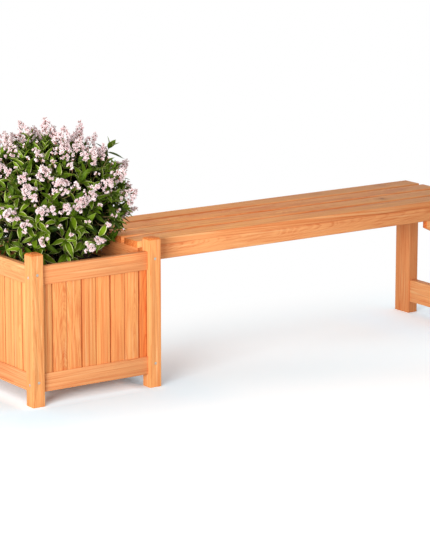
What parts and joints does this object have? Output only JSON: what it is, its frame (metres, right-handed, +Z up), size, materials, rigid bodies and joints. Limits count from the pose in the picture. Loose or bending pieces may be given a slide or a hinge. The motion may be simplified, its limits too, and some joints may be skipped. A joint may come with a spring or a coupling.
{
  "type": "bench with planter",
  "caption": "Slatted softwood garden bench carried at one end by a square boarded planter with a flowering shrub and at the other by a leg frame",
  "frame": {"origin": "On the ground, under the middle of the bounding box, which the shrub's crown widens past the planter on three sides.", "axes": "+X runs along the bench from the planter to the leg frame, +Y from the front to the back, +Z up."},
  "size_m": [1.6992, 0.4796, 0.7908],
  "materials": {
    "post_timber": "oiled",
    "panel_timber": "oiled",
    "bench_timber": "oiled",
    "hidden_timber": "oiled",
    "steel": "zinc plated",
    "soil": "moist earth",
    "plant": "leaves and blossom"
  },
  "bodies": {
    "root": {"apron_back": "bench_timber", "apron_front": "bench_timber", "bearer_1": "bench_timber", "bearer_2": "bench_timber", "bearer_3": "bench_timber", "board_back_1": "panel_timber", "board_back_2": "panel_timber", "board_back_3": "panel_timber", "board_back_4": "panel_timber", "board_back_5": "panel_timber", "board_front_1": "panel_timber", "board_front_2": "panel_timber", "board_front_3": "panel_timber", "board_front_4": "panel_timber", "board_front_5": "panel_timber", "board_left_1": "panel_timber", "board_left_2": "panel_timber", "board_left_3": "panel_timber", "board_left_4": "panel_timber", "board_left_5": "panel_timber", "board_right_1": "panel_timber", "board_right_2": "panel_timber", "board_right_3": "panel_timber", "board_right_4": "panel_timber", "board_right_5": "panel_timber", "brace_back": "bench_timber", "brace_front": "bench_timber", "coach_screw_1": "steel", "coach_screw_2": "steel", "cross_rail": "bench_timber", "floor_batten_back": "hidden_timber", "floor_batten_front": "hidden_timber", "floor_slat_1": "hidden_timber", "floor_slat_2": "hidden_timber", "floor_slat_3": "hidden_timber", "floor_slat_4": "hidden_timber", "leg_back": "bench_timber", "leg_front": "bench_timber", "post_back_left": "post_timber", "post_back_right": "post_timber", "post_front_left": "post_timber", "post_front_right": "post_timber", "rail_back_bottom": "panel_timber", "rail_back_top": "panel_timber", "rail_front_bottom": "panel_timber", "rail_front_top": "panel_timber", "rail_left_bottom": "panel_timber", "rail_left_top": "panel_timber", "rail_right_bottom": "panel_timber", "rail_right_top": "panel_timber", "seat_slat_1": "bench_timber", "seat_slat_2": "bench_timber", "seat_slat_3": "bench_timber", "seat_slat_4": "bench_timber", "shrub": "plant", "soil": "soil", "stretcher": "bench_timber", "washer_1": "steel", "washer_2": "steel"}
  },
  "joints": []
}
